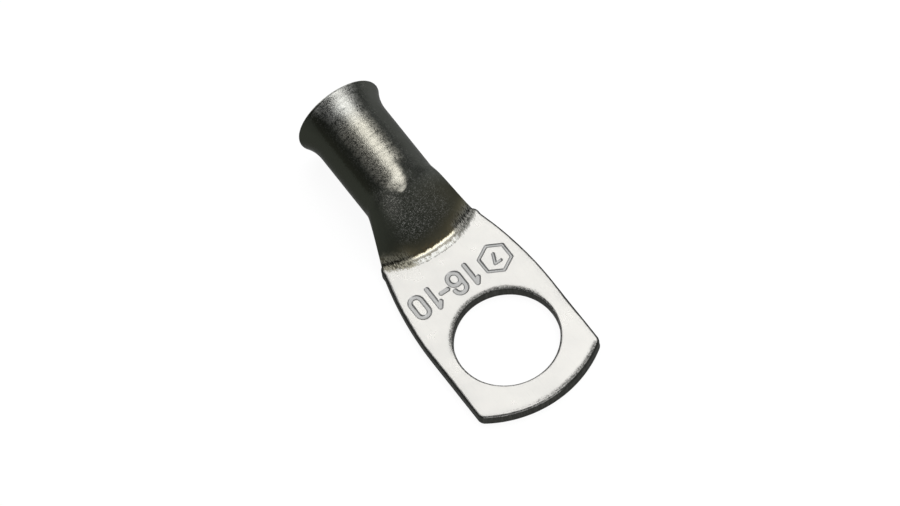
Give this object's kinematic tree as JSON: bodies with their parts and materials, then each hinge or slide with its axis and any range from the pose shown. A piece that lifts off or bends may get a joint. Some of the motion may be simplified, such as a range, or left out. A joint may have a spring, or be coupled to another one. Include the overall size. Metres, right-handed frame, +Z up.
{
  "type": "copper cable lug",
  "caption": "Tinned copper cable lug: a flat palm with a stud hole, pressed from a round tube whose open barrel ends in a bell mouth.",
  "frame": {"origin": "centre of the stud hole on the underside of the palm", "axes": "+Z up along the stud, out of the palm's upper face; +X along the barrel, out of its mouth; Y across the palm"},
  "size_m": [0.0362, 0.014, 0.0092],
  "materials": {
    "tinned_copper": "satin tin plating over copper"
  },
  "bodies": {
    "root": {"lug": "tinned_copper"}
  },
  "joints": []
}
